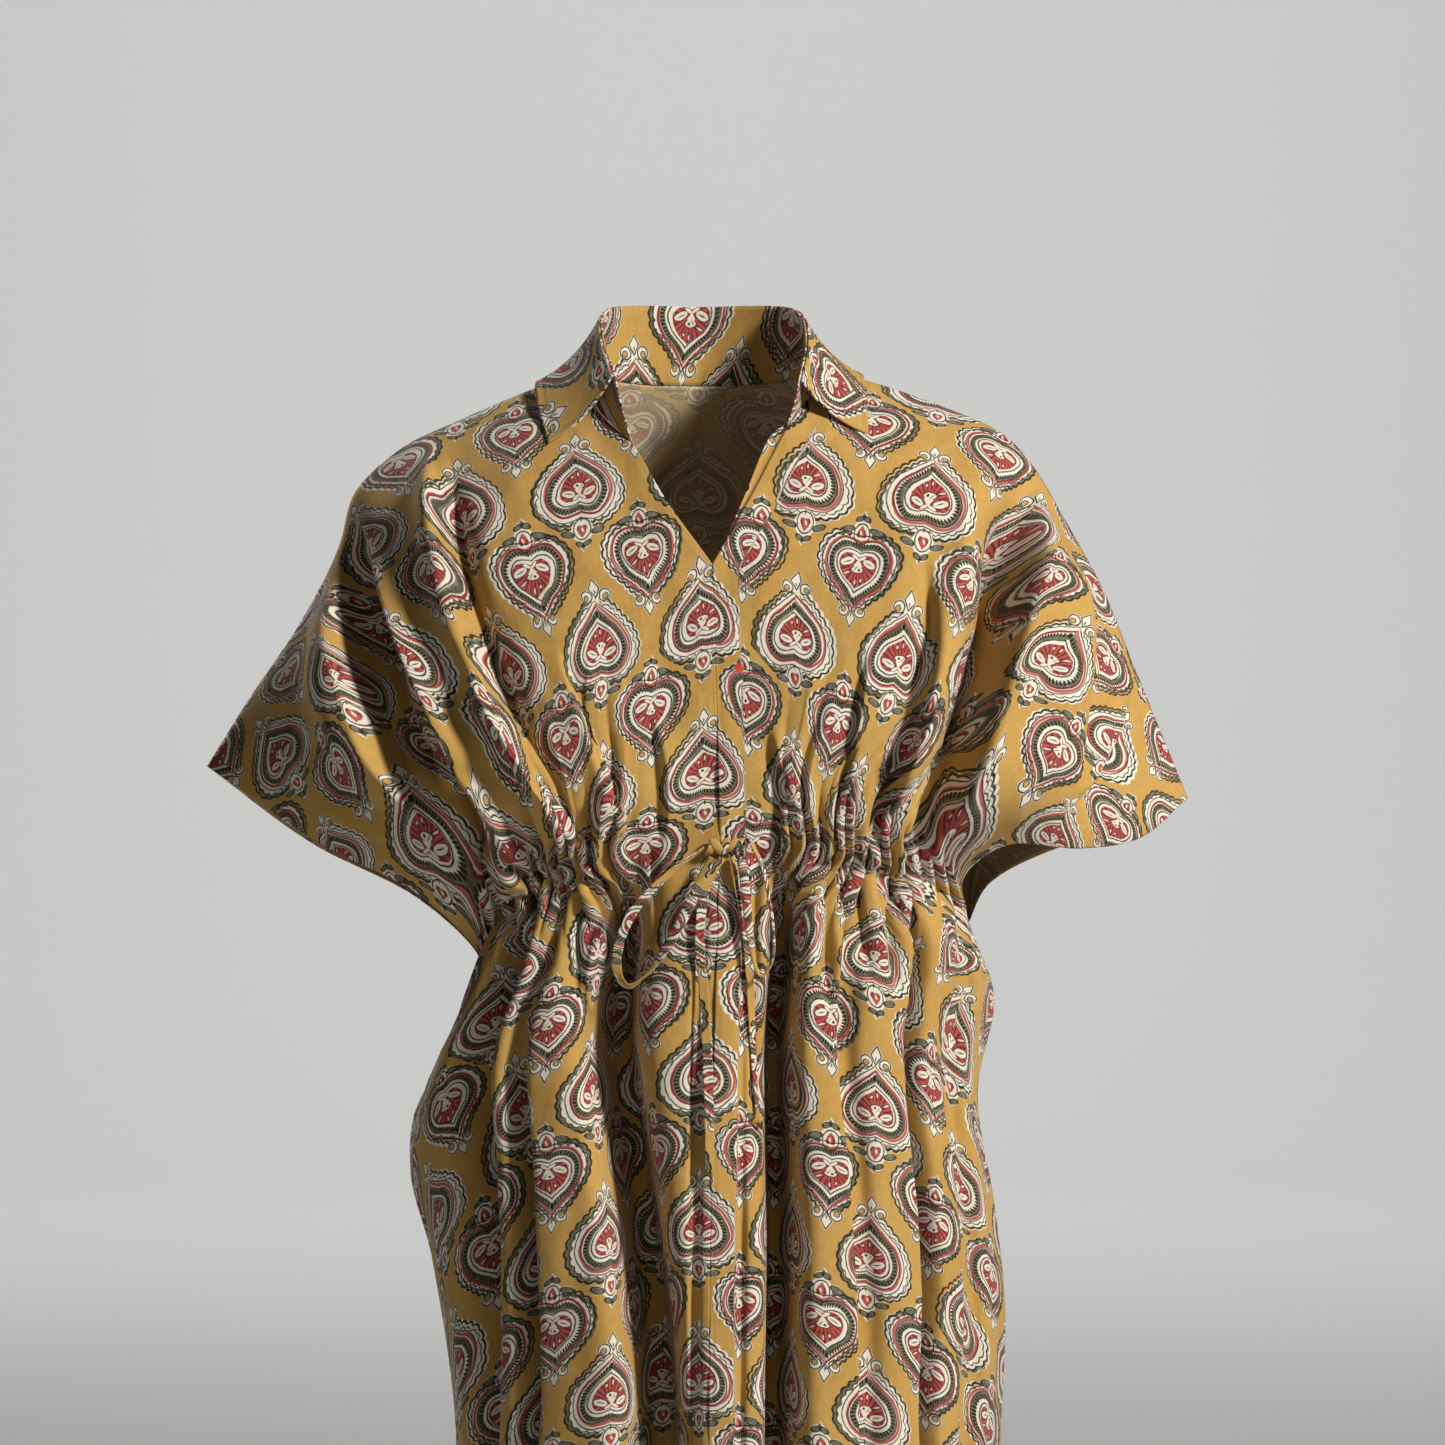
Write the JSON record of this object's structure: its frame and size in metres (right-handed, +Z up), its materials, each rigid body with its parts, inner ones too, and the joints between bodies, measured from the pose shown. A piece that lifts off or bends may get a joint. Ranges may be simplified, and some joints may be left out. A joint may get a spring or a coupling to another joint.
{
  "type": "kaftan",
  "caption": "Worn block-printed cotton kaftan with shirt collar, V neck, kimono sleeves and a front waist drawstring tied in a bow.",
  "frame": {"origin": "midway between the shoulders, level with the points where the neck meets the shoulder seams, where a wearer's shoulders carry the garment", "axes": "+Z up along the length, front faces -Y, +X to the viewer's right seen from the front"},
  "size_m": [0.706, 0.2829, 1.3351],
  "materials": {
    "printed_cotton": "matt plain-weave cotton, ochre ground with block-printed heart motifs in red, cream, olive and near black",
    "drawstring_cotton": "narrow folded tape cut from the same printed cotton"
  },
  "bodies": {
    "root": {"front_left": "printed_cotton", "front_right": "printed_cotton", "back": "printed_cotton", "collar_leaf": "printed_cotton", "collar_stand": "printed_cotton", "neck_facing_left": "printed_cotton", "neck_facing_right": "printed_cotton", "waist_casing": "printed_cotton", "drawstring_knot": "drawstring_cotton", "drawstring_end_knot": "drawstring_cotton", "drawstring_loop_left": "drawstring_cotton", "drawstring_loop_right": "drawstring_cotton", "drawstring_tail_left": "drawstring_cotton", "drawstring_tail_right": "drawstring_cotton"}
  },
  "joints": []
}
